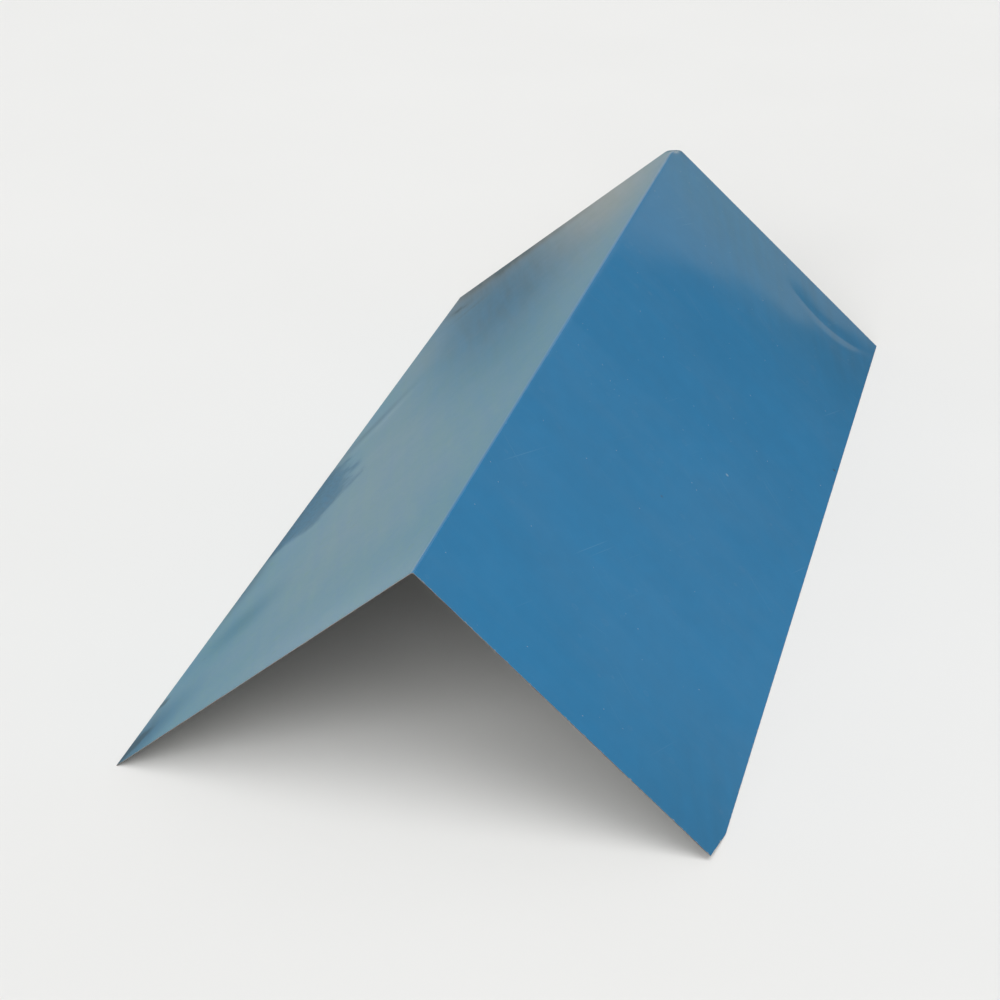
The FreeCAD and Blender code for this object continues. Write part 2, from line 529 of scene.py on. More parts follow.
        finish = np.full(around, Face.TOP_COAT)
        finish[columns:] = Face.BACK_COAT
        finish[[columns - 1, around - 1]] = Face.CUT_EDGE
        ends = np.full(2 * (columns - 1), Face.CUT_EDGE)
        finish = np.concatenate((np.tile(finish, rows - 1), ends))

        mesh = bpy.data.meshes.new(NODE)
        mesh.from_pydata(ring.reshape(-1, 3).tolist(), [], faces.tolist())
        mesh.polygons.foreach_set("material_index", finish.astype(np.int32))
        mesh.polygons.foreach_set("use_smooth", np.ones(len(faces), dtype=bool))
        mesh.set_sharp_from_angle(angle=self.sharp_angle)

        def both_faces(values: Array) -> Array:
            """Repeat the outer grid's values for the inner grid, in the ring's order."""
            return np.concatenate((values, values[:, ::-1]), axis=1).reshape(-1)

        fields = {"edge_distance": self.edge_distance(across, along), **self.strengths(across, along)}
        for name, values in fields.items():
            attribute = mesh.attributes.new(name, "FLOAT", "POINT")
            attribute.data.foreach_set("value", both_faces(values).astype(np.float32))
        flat = np.stack((both_faces(across), both_faces(along)), axis=-1)
        uv = mesh.uv_layers.new(name=UNFOLDED)
        uv.uv.foreach_set("vector", flat[faces.reshape(-1)].astype(np.float32).reshape(-1))
        mesh.update()
        mesh.validate()

        return put_up("folded_sheet", mesh)

    def dress(self, piece: bpy.types.Object) -> None:
        """Give the piece its three finishes, in the order of their slots.

        Args:
            piece: the sheet as build() made it.
        """
        for finish in (TopCoat(), BackCoat(), CutEdge()):
            piece.data.materials.append(finish.material())
        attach(piece, "root")
        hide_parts(NODE)


@dataclass(frozen=True)
class Grain:
    """A noise on the sheet: its waves per metre, and how it is shaped, stretched and turned."""

    scale: float
    detail: float = 2.0
    roughness: float = 0.5
    stretch: Triple = (1.0, 1.0, 1.0)
    turn: float = 0.0


class Tree:
    """A node tree with short calls to add nodes and join them."""

    def __init__(self, tree: bpy.types.NodeTree) -> None:
        """Take over the node tree of a material, world or group."""
        self.tree = tree

    def add(self, kind: str, inputs: dict[str | int, object] | None = None,
            **values: object) -> bpy.types.Node:
        """Add a node, set its properties and feed it.

        Args:
            kind: the node's type name in Blender.
            inputs: what feeds its inputs, by their names or numbers.
            values: property names and their values.

        Returns:
            The node.
        """
        node = self.tree.nodes.new(kind)
        for name, value in values.items():
            setattr(node, name, value)
        self.feed(node.inputs, inputs or {})
        return node

    def feed(self, sockets: bpy.types.NodeInputs, values: dict[str | int, object]) -> None:
        """Join outputs to inputs, or set inputs to plain values.

        Args:
            sockets: a node's inputs.
            values: by an input's name or number, an output or a number, vector or colour.
        """
        for key, value in values.items():
            if isinstance(value, Socket):
                self.tree.links.new(value, sockets[key])
            else:
                sockets[key].default_value = value

    def math(self, operation: str, *values: object, clamp: bool = False) -> Socket:
        """Work out one sum of sockets and numbers by a Math node, kept within 0 and 1 if asked."""
        inputs = dict(enumerate(values))
        return self.add("ShaderNodeMath", inputs, operation=operation, use_clamp=clamp).outputs[0]

    def times(self, first: object, second: object) -> Socket:
        """Multiply two values."""
        return self.math("MULTIPLY", first, second)

    def total(self, start: object, *parts: tuple[object, float], clamp: bool = False) -> Socket:
        """Add to a value each part times its own share.

        Args:
            start: the value to add to.
            parts: pairs of a value and its share.
            clamp: whether the result is kept within 0 and 1.

        Returns:
            The sum's socket.
        """
        for value, share in parts[:-1]:
            start = self.math("MULTIPLY_ADD", value, share, start)
        value, share = parts[-1]
        return self.math("MULTIPLY_ADD", value, share, start, clamp=clamp)

    def ramp(self, value: object, low: float, high: float, bottom: float = 0.0,
             top: float = 1.0) -> Socket:
        """Turn a value from low to high into one from bottom to top, with soft ends.

        Args:
            value: the value to look up.
            low: where the ramp starts.
            high: where it ends.
            bottom: what it gives up to its start.
            top: what it gives from its end on.

        Returns:
            The ramp's socket.
        """
        inputs = dict(enumerate((value, low, high, bottom, top)))
        node = self.add("ShaderNodeMapRange", inputs, interpolation_type="SMOOTHSTEP", clamp=True)
        return node.outputs[0]

    def noise(self, vector: object, grain: Grain, about_zero: bool = False) -> Socket:
        """Add plain noise.

        Args:
            vector: where to look it up.
            grain: the noise's size and shape.
            about_zero: whether its middle value is taken off.

        Returns:
            The noise's value.
        """
        if grain.turn or grain.stretch != (1.0, 1.0, 1.0):
            vector = self.stretched(vector, grain.stretch, grain.turn)
        inputs = {"Vector": vector, "Scale": grain.scale, "Detail": grain.detail,
                  "Roughness": grain.roughness}
        noise = self.add("ShaderNodeTexNoise", inputs).outputs[0]
        return self.math("ADD", noise, -NOISE_MIDDLE) if about_zero else noise

    def cells(self, vector: object, scale: float) -> tuple[Socket, Socket]:
        """Scatter points, one in a cell.

        Args:
            vector: where to look them up.
            scale: cells per metre.

        Returns:
            The distance to the nearest point in cells, and a random number of its own.
        """
        points = self.add("ShaderNodeTexVoronoi", {"Vector": vector, "Scale": scale})
        own = self.add("ShaderNodeSeparateXYZ", {0: points.outputs["Color"]})
        return points.outputs["Distance"], own.outputs[0]

    def stretched(self, vector: object, scale: Triple, turn: float) -> Socket:
        """Turn a place about the sheet's z axis, then multiply it by the scale on each axis."""
        turned = self.add("ShaderNodeMapping", {"Vector": vector, "Rotation": (0.0, 0.0, turn)})
        return self.add("ShaderNodeMapping", {"Vector": turned.outputs[0], "Scale": scale}).outputs[0]

    def mix(self, share: object, first: object, second: object) -> Socket:
        """Mix two colours.

        Args:
            share: how much of the second shows, 0 to 1.
            first: a colour, or a socket that gives one.
            second: a colour, or a socket that gives one.

        Returns:
            The mixed colour's socket.
        """
        first, second = ((*paint, 1.0) if isinstance(paint, tuple) else paint for paint in (first, second))
        inputs = {MIX_SHARE: share, MIX_FIRST: first, MIX_SECOND: second}
        return self.add("ShaderNodeMix", inputs, data_type="RGBA", clamp_factor=True).outputs[MIX_RESULT]

    def layered(self, ground: object, *layers: tuple[object, Colour]) -> Socket:
        """Lay paints over a colour, one over the other.

        Args:
            ground: the colour under them.
            layers: pairs of how much of a paint shows and its colour, the lowest first.

        Returns:
            The top colour's socket.
        """
        for share, paint in layers:
            ground = self.mix(share, ground, paint)
        return ground

    def attribute(self, name: str) -> Socket:
        """Read one of the sheet's own values."""
        return self.add("ShaderNodeAttribute", attribute_name=name).outputs["Fac"]

    def sheet(self) -> Socket:
        """Read the place on the unfolded sheet, in metres across and along."""
        return self.add("ShaderNodeUVMap", uv_map=UNFOLDED).outputs[0]

    def bumped(self, shader: bpy.types.Node, height: object, distance: float = 1.0,
               strength: float = 1.0) -> None:
        """Give a shader its bump from a height, where 1 stands for the distance in metres."""
        bump = self.add("ShaderNodeBump", {"Strength": strength, "Distance": distance, "Height": height})
        self.feed(shader.inputs, {"Normal": bump.outputs[0]})


class SheetEffect:
    """An effect that more than one finish uses: a node group that works on the unfolded sheet.

    Each kind names its group, the numbers that it takes with their usual values, and the values
    that it gives.
    """

    name: ClassVar[str]
    takes: ClassVar[dict[str, float]]
    gives: ClassVar[tuple[str, ...]]

    def fill(self, tree: Tree, given: bpy.types.NodeOutputs, made: bpy.types.NodeInputs) -> None:
        """Add the effect's own nodes.

        Args:
            tree: the group's tree helper.
            given: what the group takes, by name.
            made: what it gives, by name.
        """
        raise NotImplementedError

    def group(self) -> bpy.types.NodeTree:
        """Find the group, or build it the first time.

        Returns:
            The group.
        """
        if self.name in bpy.data.node_groups:
            return bpy.data.node_groups[self.name]
        group = bpy.data.node_groups.new(self.name, "ShaderNodeTree")
        group.interface.new_socket("Sheet", in_out="INPUT", socket_type="NodeSocketVector")
        for label, value in self.takes.items():
            socket = group.interface.new_socket(label, in_out="INPUT", socket_type="NodeSocketFloat")
            socket.default_value = value
        for label in self.gives:
            group.interface.new_socket(label, in_out="OUTPUT", socket_type="NodeSocketFloat")
        tree = Tree(group)
        self.fill(tree, tree.add("NodeGroupInput").outputs, tree.add("NodeGroupOutput").inputs)
        return group

    def used(self, tree: Tree, sheet: Socket, **inputs: object) -> bpy.types.NodeOutputs:
        """Place the group in a finish's tree and return its outputs."""
        return tree.add("ShaderNodeGroup", {"Sheet": sheet, **inputs}, node_tree=self.group()).outputs


@dataclass(frozen=True)
class CoatGrain(SheetEffect):
    """Orange peel of a rolled-on coat: a fine height, a slow wave and a faint mottle."""

    name: ClassVar[str] = "coat_grain"
    takes: ClassVar[dict[str, float]] = {"Peel": 1.0, "Wave": 1.0}
    gives: ClassVar[tuple[str, ...]] = ("Height", "Mottle")
    peel: Grain = Grain(520.0, 1.5)
    peel_height: float = 0.0000020
    wave: Grain = Grain(34.0, 1.0, stretch=(1.0, 0.45, 1.0))
    wave_height: float = 0.000030
    broad: Grain = Grain(9.0, 3.0, 0.55)
    close: Grain = Grain(70.0, 3.0, 0.6, (1.0, 0.6, 1.0))
    close_share: float = 0.6

    def fill(self, tree: Tree, given: bpy.types.NodeOutputs, made: bpy.types.NodeInputs) -> None:
        """Add up peel and wave, and a broad and a close mottle.

        Args:
            tree: the group's tree helper.
            given: how much of the Peel and of the Wave is wanted.
            made: the Height in metres, and the Mottle about 0.
        """
        sheet = given["Sheet"]
        peel = tree.times(tree.noise(sheet, self.peel), given["Peel"])
        wave = tree.times(tree.noise(sheet, self.wave), given["Wave"])
        broad = tree.noise(sheet, self.broad, about_zero=True)
        close = tree.noise(sheet, self.close, about_zero=True)
        tree.feed(made, {"Height": tree.total(0.0, (peel, self.peel_height), (wave, self.wave_height)),
                         "Mottle": tree.total(broad, (close, self.close_share))})


@dataclass(frozen=True)
class ScratchFamily:
    """Scratches that run one way: how they turn, how thin and long they are, how they gather."""

    turn: float
    thin: float
    long: float
    gather: float
    streak_span: Span = (0.78, 0.87)
    place_span: Span = (0.50, 0.64)

    def mask(self, tree: Tree, sheet: Socket) -> Socket:
        """Keep the crests of a long thin noise, and those only where a slow one is high.

        Args:
            tree: the tree to add the nodes to.
            sheet: the place on the unfolded sheet.

        Returns:
            The mask, 1 on a scratch.
        """
        streak = tree.noise(sheet, Grain(1.0, 0.0, stretch=(self.thin, self.long, 1.0), turn=self.turn))
        place = tree.noise(sheet, Grain(self.gather, 1.0, turn=self.turn))
        return tree.times(tree.ramp(streak, *self.streak_span), tree.ramp(place, *self.place_span))


@dataclass(frozen=True)
class HandlingWear(SheetEffect):
    """Scratches, specks and rubbed edges from stacking and carrying."""

    name: ClassVar[str] = "handling_wear"
    takes: ClassVar[dict[str, float]] = {"Edge": 0.0, "Reach": 0.003}
    gives: ClassVar[tuple[str, ...]] = ("Scratches", "Specks", "Rubbed Edge")
    scratches: tuple[ScratchFamily, ...] = (
        ScratchFamily(0.35, 900.0, 7.0, 11.0),
        ScratchFamily(-0.95, 1100.0, 9.0, 14.0),
        ScratchFamily(1.30, 1500.0, 12.0, 17.0),
    )
    speck_cells: float = 150.0
    speck_from: float = 0.66
    speck_size: float = 0.080
    speck_softness: float = 0.02
    ragged: Grain = Grain(260.0, 3.0, 0.65)
    ragged_span: Span = (0.42, 0.80)
    edge_softness: float = 0.0004

    def fill(self, tree: Tree, given: bpy.types.NodeOutputs, made: bpy.types.NodeInputs) -> None:
        """Join the families of scratches, scatter specks, and rub what lies by an edge.

        Args:
            tree: the group's tree helper.
            given: how far the Edge is, and how far in the rubbing may Reach.
            made: three masks from 0 to 1: Scratches, Specks and Rubbed Edge.
        """
        sheet = given["Sheet"]
        scratches = 0.0
        for family in self.scratches:
            scratches = tree.math("MAXIMUM", scratches, family.mask(tree, sheet))
        away, own = tree.cells(sheet, self.speck_cells)
        size = tree.ramp(own, self.speck_from, 1.0, 0.0, self.speck_size)
        specks = tree.ramp(tree.math("SUBTRACT", size, away), 0.0, self.speck_softness)
        ragged = tree.ramp(tree.noise(sheet, self.ragged), *self.ragged_span)
        inside = tree.math("SUBTRACT", tree.times(given["Reach"], ragged), given["Edge"])
        rubbed_and_shade = tree.ramp(inside, 0.0, self.edge_softness)
        tree.feed(made, {"Scratches": scratches, "Specks": specks, "Rubbed Edge": rubbed_and_shade})


@dataclass(frozen=True)
class SettledDust(SheetEffect):
    """Thin dust that lies in clouds and runs, and the rims that raindrops leave in it."""

    name: ClassVar[str] = "settled_dust"
    takes: ClassVar[dict[str, float]] = {"Amount": 0.1}
    gives: ClassVar[tuple[str, ...]] = ("Dust", "Dried Drops")
    cloud: Grain = Grain(7.0, 4.0, 0.6)
    cloud_span: Span = (0.38, 0.68)
    cloud_share: float = 0.8
    runs: Grain = Grain(1.0, 3.0, 0.6, (6.0, 42.0, 1.0))
    runs_span: Span = (0.40, 0.75)
    runs_share: float = 0.5
    drop_cells: float = 75.0
    drop_grows: float = 0.55
    drop_less: float = -0.22
    drop_span: Span = (0.50, 0.62)
    stirred: Grain = Grain(140.0)
    stirred_share: float = 0.14
    rim_width: float = 0.05
    pool_depth: float = 0.12
    pool_share: float = 0.35
    cloudy_span: Span = (0.05, 0.70)

    def fill(self, tree: Tree, given: bpy.types.NodeOutputs, made: bpy.types.NodeInputs) -> None:
        """Lay the dust in clouds and runs, and dry drops in it.

        A drop's rim is where the distance from its cell's point, stirred a little, comes to the
        drop's own radius; its pool lies within.

        Args:
            tree: the group's tree helper.
            given: the Amount of dust.
            made: Dust and Dried Drops, masks from 0 to 1.
        """
        sheet = given["Sheet"]
        cloud = tree.ramp(tree.noise(sheet, self.cloud), *self.cloud_span)
        runs = tree.ramp(tree.noise(sheet, self.runs), *self.runs_span)
        both = tree.total(0.0, (cloud, self.cloud_share), (runs, self.runs_share))
        dust = tree.math("MULTIPLY", both, given["Amount"], clamp=True)
        away, own = tree.cells(sheet, self.drop_cells)
        radius = tree.total(self.drop_less, (own, self.drop_grows))
        reach = tree.total(away, (tree.noise(sheet, self.stirred), self.stirred_share))
        off = tree.math("SUBTRACT", reach, radius)
        rim = tree.ramp(tree.math("ABSOLUTE", off), 0.0, self.rim_width, 1.0, 0.0)
        pool = tree.ramp(off, -self.pool_depth, 0.0, self.pool_share, 0.0)
        drops = tree.times(tree.math("MAXIMUM", rim, pool), tree.ramp(own, *self.drop_span))
        drops = tree.times(drops, tree.ramp(cloud, *self.cloudy_span))
        tree.feed(made, {"Dust": dust, "Dried Drops": drops})


def new_material(name: str) -> tuple[bpy.types.Material, Tree, bpy.types.Node]:
    """Make a material with its Principled shader.

    Args:
        name: the material's name.

    Returns:
        The material, its tree helper and the shader node.
    """
    material = bpy.data.materials.new(name)
    material.use_nodes = True
    return material, Tree(material.node_tree), material.node_tree.nodes["Principled BSDF"]


@dataclass(frozen=True)
class Nick:
    """A small knock in the coat: where it is on the unfolded sheet, its size and its colour."""

    across: float
    along: float
    size: float
    colour: Colour
    core: float = 0.3
    raggedness: float = 0.8
    strength: float = 0.8

    def mask(self, tree: Tree, sheet: Socket, rag: Socket) -> Socket:
        """Fall from full strength in the core to none at the nick's size, by a ragged distance.

        Args:
            tree: the tree to add the nodes to.
            sheet: the place on the unfolded sheet.
            rag: a noise about 0 that makes the outline ragged.

        Returns:
            The mask.
        """
        place = (self.across, self.along, 0.0)
        away = tree.add("ShaderNodeVectorMath", {0: sheet, 1: place}, operation="DISTANCE")
        ragged = tree.total(away.outputs["Value"], (rag, self.raggedness * self.size))
        return tree.ramp(ragged, self.core * self.size, self.size, self.strength, 0.0)


@dataclass(frozen=True)
class TopCoat:
    """The outer face's blue coat: glossy, dulled, soiled or stained where the sheet says so, with painted
    reflection and painted shade.
    """

    blue: Colour = (0.004, 0.156, 0.339)
    blue_spread: float = 0.10
    blue_middle: float = 0.5
    blue_mottle: float = 0.9
    # painted reflection: the pale greenish grey laid over the blue where the glossy coat would reflect its
    # surroundings
    painted_reflection: Colour = (0.081, 0.247, 0.193)
    dust: Colour = (0.36, 0.36, 0.33)
    # painted shade: a darker copy of the blue, with some soil
    soil_and_shade: Colour = (0.012, 0.058, 0.085)
    tan: Colour = (0.30, 0.21, 0.11)
    # painted shade: a darker copy of the blue, laid on in ragged stains
    stain_and_shade: Colour = (0.012, 0.055, 0.085)
    scratched: Colour = (0.10, 0.27, 0.42)
    zinc: Colour = (0.30, 0.30, 0.28)
    shiny: float = 0.045
    dullest: float = 0.78
    specular: float = 0.5
    edge_reach: float = 0.0018
    dust_amount: float = 0.022
    scratch_depth: float = 0.000006

    rag: Grain = Grain(75.0, 4.0, 0.65, (1.0, 0.45, 1.0))
    slow_rag: Grain = Grain(38.0, 4.0, 0.6, (1.0, 0.55, 1.0))
    streaks: Grain = Grain(1.0, 3.0, stretch=(80.0, 6.0, 1.0), turn=-0.35)
    fine: Grain = Grain(230.0, 4.0, 0.7, (1.0, 0.7, 1.0))

    # how the painted reflection is broken up by streaks, mottle, drops and scratches
    reflection_mottle: float = 0.5
    reflection_fine: float = 1.6
    reflection_drops: float = 0.9
    reflection_scratched: float = -0.7
    reflection_in_shade_patch: float = -0.55
    soil_and_shade_streaks: float = 1.5
    # the patch of painted shade along the left foot: its ragged outline, darkness, dullness and darker rim
    shade_patch_rag: float = 0.9
    shade_patch_span: Span = (0.32, 0.70)
    shade_patch_dark: float = 0.33
    shade_patch_fine: float = 1.2
    shade_patch_dull: float = 0.24
    shade_patch_rim_at: float = 0.56
    shade_patch_rim_width: float = 0.09
    shade_patch_rim_dark: float = 0.07
    # ragged stains of painted shade
    stain_and_shade_rag: float = 0.75
    stain_and_shade_span: Span = (0.26, 0.52)
    stain_and_shade_share: float = 0.72
    stain_and_shade_dull: float = 0.15
    scratch_share: float = 0.35
    speck_share: float = 0.55
    drop_share: float = 0.035
    zinc_share: float = 0.7
    dull_mottle: float = 0.25
    rough_dust: float = 0.5
    rough_drops: float = 0.06
    rough_specks: float = 0.4
    rough_scratches: float = 0.15
    nicks: tuple[Nick, ...] = (
        Nick(0.1946, -0.008, 0.0022, (0.20, 0.33, 0.44)),
        Nick(0.1466, -0.132, 0.0020, (0.03, 0.09, 0.16)),
        Nick(0.2955, 0.173, 0.0026, (0.02, 0.05, 0.08)),
    )

    def material(self) -> bpy.types.Material:
        """Build the coat's material.

        The blue gets its painted reflection, is browned, then darkened by soil and painted shade and
        by stains and painted shade, in that order, then scratched, specked and dusted. The roughness
        runs from shiny to dullest by the same marks.

        Returns:
            The material.
        """
        material, tree, shader = new_material("blue_coat")
        sheet = tree.sheet()
        edge = tree.attribute("edge_distance")
        grain = CoatGrain().used(tree, sheet)
        wear = HandlingWear().used(tree, sheet, Edge=edge, Reach=self.edge_reach)
        settled = SettledDust().used(tree, sheet, Amount=self.dust_amount)
        mottle, scratches, specks = grain["Mottle"], wear["Scratches"], wear["Specks"]
        dust, drops = settled["Dust"], settled["Dried Drops"]
        rag = tree.noise(sheet, self.rag, about_zero=True)
        slow_rag = tree.noise(sheet, self.slow_rag, about_zero=True)
        streaks = tree.noise(sheet, self.streaks, about_zero=True)
        fine = tree.noise(sheet, self.fine, about_zero=True)

        # stains and painted shade, with a ragged outline
        stain_and_shade = tree.total(tree.attribute("stain_and_shade"), (rag, self.stain_and_shade_rag))
        stain_and_shade = tree.ramp(stain_and_shade, *self.stain_and_shade_span)
        # a patch of painted shade with a darker rim, where the painted reflection thins and the coat is
        # duller
        shade_patch_level = tree.total(tree.attribute("rubbed_and_shade"), (slow_rag, self.shade_patch_rag))
        rubbed_and_shade = tree.ramp(shade_patch_level, *self.shade_patch_span)
        shade_patch_rim = tree.math("ABSOLUTE", tree.math("SUBTRACT", shade_patch_level, self.shade_patch_rim_at))
        shade_patch_rim = tree.ramp(shade_patch_rim, 0.0, self.shade_patch_rim_width, 1.0, 0.0)
        # painted reflection, broken up, and thinner in the patch of painted shade
        painted_reflection = tree.total(streaks, (mottle, self.reflection_mottle), (fine, self.reflection_fine),
                          (drops, self.reflection_drops), (scratches, self.reflection_scratched))
        painted_reflection = tree.math("ADD", painted_reflection, 1.0)
        painted_reflection = tree.math("MULTIPLY", painted_reflection, tree.attribute("painted_reflection"), clamp=True)
        painted_reflection = tree.times(painted_reflection, tree.total(1.0, (rubbed_and_shade, self.reflection_in_shade_patch)))
        patch_shade = tree.times(rubbed_and_shade, tree.total(self.shade_patch_dark, (fine, self.shade_patch_fine)))
        # soil and painted shade from the marks, streaked, with the patch of painted shade and its darker
        # rim
        soil_and_shade = tree.times(tree.total(1.0, (streaks, self.soil_and_shade_streaks)), tree.attribute("soil_and_shade"))
        soil_and_shade = tree.total(soil_and_shade, (patch_shade, 1.0), (shade_patch_rim, self.shade_patch_rim_dark), clamp=True)

        deeper = tuple((1.0 - self.blue_spread) * part for part in self.blue)
        lighter = tuple((1.0 + self.blue_spread) * part for part in self.blue)
        colour = tree.mix(tree.total(self.blue_middle, (mottle, self.blue_mottle)), deeper, lighter)
        # painted reflection and painted shade are laid over the blue with the browning, stains, wear and
        # dust
        colour = tree.layered(
            colour,
            (painted_reflection, self.painted_reflection),
            (tree.attribute("tan"), self.tan),
            (soil_and_shade, self.soil_and_shade),
            (tree.times(stain_and_shade, self.stain_and_shade_share), self.stain_and_shade),
            (tree.times(scratches, self.scratch_share), self.scratched),
            (tree.times(specks, self.speck_share), self.dust),
            (tree.times(drops, self.drop_share), self.dust),
            *((nick.mask(tree, sheet, rag), nick.colour) for nick in self.nicks),
            (dust, self.dust),
            (tree.times(wear["Rubbed Edge"], self.zinc_share), self.zinc),
        )

        dull = tree.times(tree.total(1.0, (mottle, self.dull_mottle)), tree.attribute("dull"))
        dull = tree.total(dull, (rubbed_and_shade, self.shade_patch_dull), (stain_and_shade, self.stain_and_shade_dull), clamp=True)
        rough = tree.total(self.shiny, (dull, self.dullest - self.shiny), (dust, self.rough_dust),
                           (drops, self.rough_drops), (specks, self.rough_specks),
                           (scratches, self.rough_scratches), clamp=True)
        tree.feed(shader.inputs, {"Base Color": colour, "Roughness": rough,
                                  "Specular IOR Level": self.specular})
        tree.bumped(shader, tree.total(grain["Height"], (scratches, -self.scratch_depth)))
        return material


@dataclass(frozen=True)
class BackCoat:
    """The inner face's pale grey wash coat, thin enough to show the sheet's rolling."""

    grey: Colour = (0.44, 0.45, 0.44)
    shade: Colour = (0.35, 0.36, 0.36)
    dust: Colour = (0.40, 0.38, 0.34)
    zinc: Colour = (0.30, 0.30, 0.28)
    peel: float = 1.6
    wave: float = 0.8
    edge_reach: float = 0.0030
    dust_amount: float = 0.25
    rolling: Grain = Grain(1.0, 2.0, stretch=(420.0, 5.0, 1.0))
    rolling_tone: float = 0.8
    rolling_height: float = 0.0000015
    rolling_rough: float = 0.16
    mottle_tone: float = 1.2
    full_tone: float = 0.8
    roughness: float = 0.34
    scratch_share: float = 0.35
    zinc_share: float = 0.7

    def material(self) -> bpy.types.Material:
        """Build the wash coat's material: two greys by the mottle and rolling, worn and dusted.

        Returns:
            The material.
        """
        material, tree, shader = new_material("grey_back_coat")
        sheet = tree.sheet()
        edge = tree.attribute("edge_distance")
        grain = CoatGrain().used(tree, sheet, Peel=self.peel, Wave=self.wave)
        wear = HandlingWear().used(tree, sheet, Edge=edge, Reach=self.edge_reach)
        settled = SettledDust().used(tree, sheet, Amount=self.dust_amount)
        rolling = tree.noise(sheet, self.rolling)
        tone = tree.total(0.0, (grain["Mottle"], self.mottle_tone), (rolling, self.rolling_tone))
        colour = tree.layered(
            tree.mix(tree.ramp(tone, 0.0, self.full_tone), self.shade, self.grey),
            (tree.times(wear["Scratches"], self.scratch_share), self.zinc),
            (settled["Dust"], self.dust),
            (tree.times(wear["Rubbed Edge"], self.zinc_share), self.zinc),
        )
        rough = tree.total(self.roughness, (rolling, self.rolling_rough))
        tree.feed(shader.inputs, {"Base Color": colour, "Roughness": rough})
        tree.bumped(shader, tree.total(grain["Height"], (rolling, self.rolling_height)))
        return material


@dataclass(frozen=True)
class CutEdge:
    """The sheared edge: steel between two lines of zinc, dulled and a little browned."""

    steel: Colour = (0.20, 0.19, 0.18)
    brown: Colour = (0.11, 0.055, 0.03)
    stains: Grain = Grain(35.0, 4.0, 0.6)
    stains_span: Span = (0.42, 0.62)
    stain_and_shade_share: float = 0.75
    shear: Grain = Grain(1.0, 1.0, stretch=(900.0, 900.0, 1.0))
    shear_rough: float = 0.3
    shear_height: float = 0.00002
    shear_strength: float = 0.6
    metallic: float = 0.85
    roughness: float = 0.35

    def material(self) -> bpy.types.Material:
        """Build the edge's material: bare metal, less of it where it is stained brown.

        Returns:
            The material.
        """
        material, tree, shader = new_material("cut_edge")
        sheet = tree.sheet()
        stained = tree.ramp(tree.noise(sheet, self.stains), *self.stains_span)
        shear = tree.noise(sheet, self.shear)
        tree.feed(shader.inputs, {
            "Base Color": tree.mix(tree.times(stained, self.stain_and_shade_share), self.steel, self.brown),
            "Metallic": tree.total(self.metallic, (stained, -self.stain_and_shade_share)),
            "Roughness": tree.total(self.roughness, (shear, self.shear_rough)),
        })
        tree.bumped(shader, shear, self.shear_height, self.shear_strength)
        return material


@dataclass(frozen=True)
class Floor:
    """A wide, plain, pale floor."""

    half_width: float = 40.0
    pale: Colour = (0.76, 0.76, 0.75)
    clouds: Grain = Grain(3.0)
    clouds_span: Span = (0.2, 0.8)
    cloud_shade: float = 0.985
    roughness: float = 0.9
    specular: float = 0.1

    def build(self) -> None:
        """Make the floor with its finish."""
        w = self.half_width
        mesh = bpy.data.meshes.new("floor")
        mesh.from_pydata([(-w, -w, 0.0), (w, -w, 0.0), (w, w, 0.0), (-w, w, 0.0)], [], [(0, 1, 2, 3)])
        material, tree, shader = new_material("floor_paint")
        place = tree.add("ShaderNodeTexCoord").outputs["Object"]
        tone = tree.ramp(tree.noise(place, self.clouds), *self.clouds_span)
        darker = tuple(self.cloud_shade * part for part in self.pale)
        tree.feed(shader.inputs, {"Base Color": tree.mix(tone, darker, self.pale),
                                  "Roughness": self.roughness, "Specular IOR Level": self.specular})
        mesh.materials.append(material)
        floor = put_up("floor", mesh)


@dataclass(frozen=True)
class SoftLight:
    """A very wide lamp far away, which lights everything from one side at one level."""

    name: str
    towards_lamp: Triple
    level: float
    spread: float

    def build(self) -> None:
        """Make the lamp; its level is what a white face square to it would show."""
        data = bpy.data.lights.new(self.name, "SUN")
        data.energy = self.level * pi
        data.angle = self.spread
        z = np.array(self.towards_lamp) / np.linalg.norm(self.towards_lamp)
        x = np.cross((0.0, 1.0, 0.0), z)
        x /= np.linalg.norm(x)
        put_up(self.name, data).matrix_world = placed(np.column_stack((x, np.cross(z, x), z)))


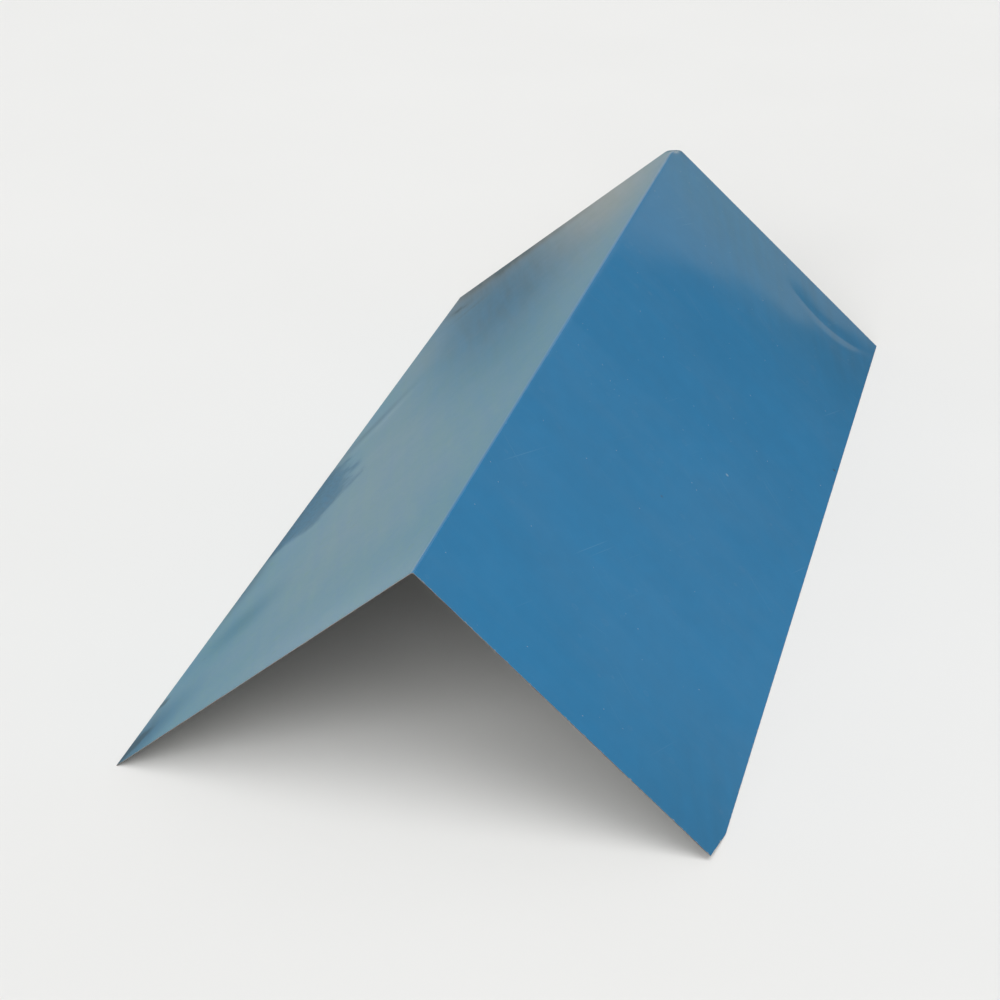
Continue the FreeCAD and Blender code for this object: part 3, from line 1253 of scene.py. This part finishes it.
@dataclass(frozen=True)
class Surroundings:
    """What lies past the floor: even grey light, and a soft pale screen behind the cap.

    The screen's right edge leans, and is softer higher up; each_side is the share of its softness
    on either side of its line. The screen's level falls towards that edge. Angles are azimuths
    from +Y towards +X; heights are the sine of the elevation.
    """

    light: float = 0.36
    wall_by_screen: float = 0.17
    wall: float = 0.35
    wall_rises_from: float = radians(28.0)
    wall_full: float = radians(41.0)
    screen: float = 1.0
    screen_by_edge: float = 0.47
    screen_falls_from: float = radians(-6.0)
    screen_falls_to: float = radians(15.0)
    screen_left: float = radians(-80.0)
    left_softness: float = radians(24.0)
    edge_at_floor: float = radians(24.55)
    edge_lean: float = -0.468
    edge_softness: float = radians(0.3)
    each_side: float = 0.5
    softer_from: float = 0.19
    softer_by: float = 0.50
    white: Colour = (1.0, 1.0, 1.0)
    tint: Colour = (1.0, 0.95, 0.80)
    top: float = 0.34
    top_softness: float = 0.20

    def build(self) -> None:
        """Make the world: one level for the light it casts, and the screen where it is seen."""
        world = bpy.data.worlds.new("surroundings")
        bpy.context.scene.world = world
        world.use_nodes = True
        tree = Tree(world.node_tree)
        background = world.node_tree.nodes["Background"]
        sight = tree.add("ShaderNodeTexCoord").outputs["Generated"]
        x, y, height = tree.add("ShaderNodeSeparateXYZ", {0: sight}).outputs
        azimuth = tree.math("ARCTAN2", x, y)
        edge = tree.math("MULTIPLY_ADD", height, self.edge_lean, self.edge_at_floor)
        above = tree.math("MAXIMUM", tree.math("SUBTRACT", height, self.softer_from), 0.0)
        soft = tree.math("MULTIPLY_ADD", above, self.softer_by, self.edge_softness)
        inwards = tree.math("DIVIDE", tree.math("SUBTRACT", edge, azimuth), soft)
        right = tree.ramp(inwards, -self.each_side, self.each_side)
        left = tree.ramp(azimuth, self.screen_left - self.left_softness, self.screen_left)
        below = tree.ramp(height, self.top, self.top + self.top_softness, 1.0, 0.0)
        inside = tree.times(tree.times(right, left), below)
        screen = tree.ramp(azimuth, self.screen_falls_from, self.screen_falls_to, self.screen,
                           self.screen_by_edge)
        away = tree.math("ADD", tree.math("ABSOLUTE", azimuth), height)
        wall = tree.ramp(away, self.wall_rises_from, self.wall_full, self.wall_by_screen, self.wall)
        seen = tree.math("ADD", wall, tree.times(tree.math("SUBTRACT", screen, wall), inside))
        path = tree.add("ShaderNodeLightPath")
        looked_at = path.outputs["Is Transmission Ray"]
        for ray in ("Is Glossy Ray", "Is Camera Ray"):
            looked_at = tree.math("MAXIMUM", path.outputs[ray], looked_at)
        cast = tree.times(tree.math("SUBTRACT", 1.0, looked_at), self.light)
        tree.feed(background.inputs, {
            "Strength": tree.math("MULTIPLY_ADD", seen, looked_at, cast),
            "Color": tree.mix(tree.times(inside, looked_at), self.white, self.tint),
        })


@dataclass(frozen=True)
class Viewpoint:
    """The camera, where the photograph's own stood; worked out from the cap's six corners."""

    place: Triple = (0.41653, -2.00934, 1.01395)
    azimuth: float = radians(13.2657)
    elevation: float = radians(25.8879)
    roll: float = radians(-1.7264)
    lens: float = 91.7632
    sensor: float = 36.0
    sees_to: float = 200.0

    def build(self) -> None:
        """Make the camera: turned by the azimuth about z, tipped down, then rolled about its own axis."""
        ca, sa = cos(self.azimuth), sin(self.azimuth)
        ce, se = cos(self.elevation), sin(self.elevation)
        cr, sr = cos(self.roll), sin(self.roll)
        turned = np.array(((ca, sa, 0.0), (-sa, ca, 0.0), (0.0, 0.0, 1.0)))
        tipped = np.array(((1.0, 0.0, 0.0), (0.0, se, ce), (0.0, -ce, se)))
        rolled = np.array(((cr, -sr, 0.0), (sr, cr, 0.0), (0.0, 0.0, 1.0)))
        data = bpy.data.cameras.new("camera")
        data.lens = self.lens
        data.sensor_width = self.sensor
        data.clip_end = self.sees_to
        camera = put_up("camera", data)
        camera.matrix_world = placed((rolled @ tipped @ turned).T, self.place)
        bpy.context.scene.camera = camera


@dataclass(frozen=True)
class Studio:
    """Floor, lamps, surroundings and camera."""

    floor: Floor = Floor()
    key: SoftLight = SoftLight("key", (0.25, -0.30, 0.92), 0.60, radians(55.0))
    fill: SoftLight = SoftLight("front_fill", (-0.10, -0.90, 0.42), 0.55, radians(50.0))
    surroundings: Surroundings = Surroundings()
    viewpoint: Viewpoint = Viewpoint()

    def build(self) -> None:
        """Set up the studio at a plain level, where a colour renders about as it is written."""
        for part in (self.floor, self.key, self.fill, self.surroundings, self.viewpoint):
            part.build()
        bpy.context.scene.view_settings.view_transform = "Standard"


def main() -> None:
    """Build the cap and the studio."""
    logging.basicConfig(level=logging.INFO, format="%(name)s: %(message)s")
    cap = RidgeCap()
    piece = cap.build()
    cap.dress(piece)
    log.info("%s: %d points, %d faces", piece.name, len(piece.data.vertices), len(piece.data.polygons))
    Studio().build()


if __name__ == "__main__":
    main()
